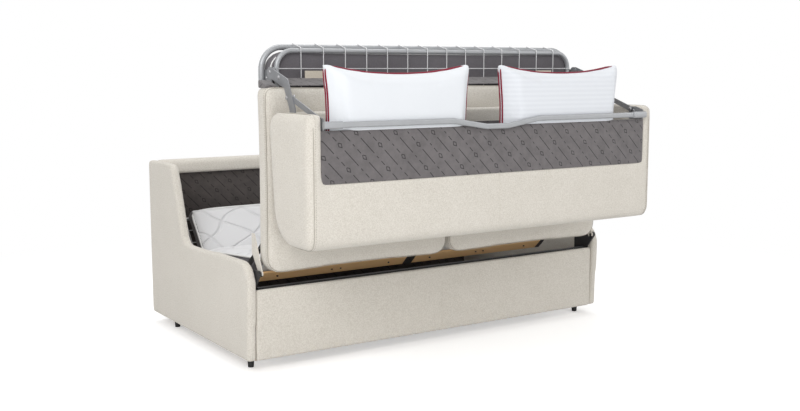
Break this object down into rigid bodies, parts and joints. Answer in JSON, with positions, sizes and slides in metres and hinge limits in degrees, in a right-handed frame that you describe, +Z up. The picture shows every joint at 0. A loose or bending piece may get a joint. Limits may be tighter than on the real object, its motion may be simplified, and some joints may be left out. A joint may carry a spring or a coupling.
{
  "type": "sofa bed",
  "caption": "Two-seat sofa bed with a fold-out mattress in hinged sections, a swing-over back unit with a pillow pocket, and a fabric-covered base.",
  "frame": {"origin": "bottom centre of the overall box, on the floor under the sofa bed at rest, half way between sofa and bed", "axes": "+X to the viewer's right along the width, +Y to the rear, +Z up"},
  "size_m": [1.9, 1.498, 1.3169],
  "materials": {
    "cover": "oatmeal woven boucle cloth",
    "lining": "dark grey lining cloth with a plain dash pattern",
    "mattress": "white quilted ticking, white piping",
    "pillow": "white cotton with maroon piping",
    "tape": "beige webbing",
    "frame_metal": "warm grey powder coat",
    "dark_metal": "black powder coat",
    "black_plastic": "black moulded plastic",
    "wood": "sawn softwood",
    "board": "tan plywood"
  },
  "bodies": {
    "base": {"legs": "dark_metal", "arm_left": "cover", "arm_right": "cover", "front_apron": "cover", "back_panel": "cover", "back_lining": "lining", "back_top_roll": "cover", "side_rails": "wood", "base_rear_rail": "wood", "base_front_rail": "wood", "front_cross_tube": "frame_metal", "corner_bracket_left": "black_plastic", "corner_bracket_right": "black_plastic", "head_brackets": "dark_metal"},
    "foot_section": {"seat_cushion_left": "cover", "seat_cushion_right": "cover", "seat_frame_tube": "frame_metal", "seat_frame_cross_tube": "frame_metal", "seat_wire_net": "frame_metal", "foot_hoop": "frame_metal", "foot_end_wires": "frame_metal", "foot_end_net": "frame_metal", "seat_hinge_plates": "dark_metal", "fold_hinge_plates": "frame_metal", "hoop_plates": "frame_metal", "foot_mattress": "mattress", "seat_edge_lining": "lining", "pull_tabs": "tape"},
    "middle_section": {"middle_mattress": "mattress", "middle_frame_tube": "frame_metal", "middle_front_tube": "dark_metal", "middle_wire_net": "frame_metal", "middle_hinge_plates": "frame_metal", "front_board_left": "board", "front_board_right": "board", "centre_bracket": "black_plastic", "board_end_bracket": "black_plastic"},
    "head_section": {"head_mattress": "mattress", "head_frame_tube": "frame_metal", "head_cross_tube": "frame_metal", "head_wire_net": "frame_metal", "head_hinge_plates": "frame_metal"},
    "swing_arms": {"swing_arm_left": "frame_metal", "swing_arm_right": "frame_metal", "swing_struts": "frame_metal"},
    "back_unit": {"unit_side_left": "cover", "unit_side_right": "cover", "back_cushion": "cover", "unit_rear_shell": "lining", "pocket_panel": "lining", "unit_divider": "lining", "carry_brackets": "dark_metal", "support_bar": "frame_metal", "bar_sleeves": "dark_metal", "bar_brackets": "dark_metal"},
    "pillow_left_body": {"pillow_left": "pillow"},
    "pillow_right_body": {"pillow_right": "pillow"}
  },
  "joints": [
    {"name": "seat_fold", "type": "hinge", "parent": "base", "child": "foot_section", "pos_m": [0, -0.345, 0.406], "axis": [1, 0, 0], "range_deg": [-90, 90]},
    {"name": "middle_fold", "type": "hinge", "parent": "foot_section", "child": "middle_section", "pos_m": [0, -0.176, 0.465], "axis": [1, 0, 0], "range_deg": [-90, 90]},
    {"name": "head_fold", "type": "hinge", "parent": "base", "child": "head_section", "pos_m": [0, 0.67834, 0.50282], "axis": [1, 0, 0], "range_deg": [-41, 41]},
    {"name": "back_arm_swing", "type": "hinge", "parent": "foot_section", "child": "swing_arms", "pos_m": [0, -0.291, 1.2], "axis": [1, 0, 0], "range_deg": [-10.5, 0.5]},
    {"name": "back_fold", "type": "hinge", "parent": "swing_arms", "child": "back_unit", "pos_m": [0, -0.4306, 0.9747], "axis": [1, 0, 0], "range_deg": [-80, 0]},
    {"name": "pillow_left_slide", "type": "slide", "parent": "back_unit", "child": "pillow_left_body", "axis": [0, 0, 1], "range_m": [-0.112, 0]},
    {"name": "pillow_right_slide", "type": "slide", "parent": "back_unit", "child": "pillow_right_body", "axis": [0, 0, 1], "range_m": [-0.112, 0]}
  ],
  "couplings": [
    {"joint": "middle_fold", "follows": "seat_fold", "ratio": -0.98},
    {"joint": "head_fold", "follows": "seat_fold", "ratio": -0.45},
    {"joint": "back_arm_swing", "follows": "back_fold", "ratio": 0.125},
    {"joint": "pillow_left_slide", "follows": "back_fold", "m_per_rad": 0.07878},
    {"joint": "pillow_right_slide", "follows": "back_fold", "m_per_rad": 0.07878}
  ]
}
